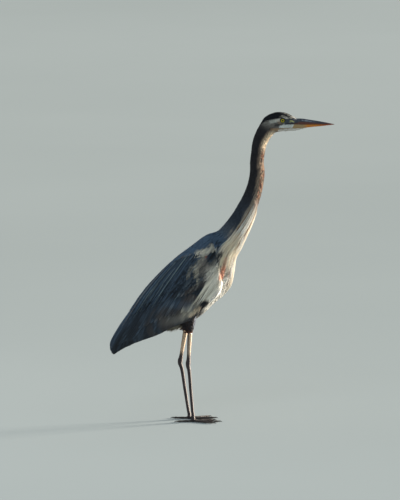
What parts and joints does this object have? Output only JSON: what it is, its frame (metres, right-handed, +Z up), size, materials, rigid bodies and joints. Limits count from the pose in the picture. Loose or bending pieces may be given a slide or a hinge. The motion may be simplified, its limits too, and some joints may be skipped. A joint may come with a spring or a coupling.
{
  "type": "standing great blue heron model",
  "caption": "Life-size great blue heron standing upright on both feet, neck stretched and wings folded, as a still museum model.",
  "frame": {"origin": "on the floor, under the middle of the bird's overall box", "axes": "+Z up, +X the way the bird faces, +Y its left side"},
  "size_m": [0.7852, 0.1544, 1.0897],
  "materials": {
    "slate_feathers": "matt blue-grey body and wing feathers",
    "flight_feathers": "matt dark slate flight and tail feathers",
    "neck_feathers": "matt grey-brown neck feathers, streaked black and rufous in front",
    "white_feathers": "matt white feathers of face, throat and belly",
    "thigh_feathers": "matt chestnut thigh feathers",
    "upper_bill": "satin dark horn",
    "lower_bill": "satin orange-yellow horn",
    "eye": "wet, glossy yellow iris with a black pupil",
    "leg_skin": "scaly grey-brown skin",
    "claw": "satin black horn"
  },
  "bodies": {
    "root": {"torso": "white_feathers", "neck_lower": "neck_feathers", "neck_upper": "neck_feathers", "head": "white_feathers", "eye_right": "eye", "eye_left": "eye", "bill_upper": "upper_bill", "bill_lower": "lower_bill", "mantle": "slate_feathers", "wing_right": "slate_feathers", "wing_left": "slate_feathers", "tail": "flight_feathers", "thigh_right": "thigh_feathers", "thigh_left": "thigh_feathers", "shin_right": "leg_skin", "shin_left": "leg_skin", "tarsus_right": "leg_skin", "tarsus_left": "leg_skin", "foot_right": "leg_skin", "foot_left": "leg_skin", "claw_right_1": "claw", "claw_right_2": "claw", "claw_right_3": "claw", "claw_right_4": "claw", "claw_left_1": "claw", "claw_left_2": "claw", "claw_left_3": "claw", "claw_left_4": "claw"}
  },
  "joints": []
}
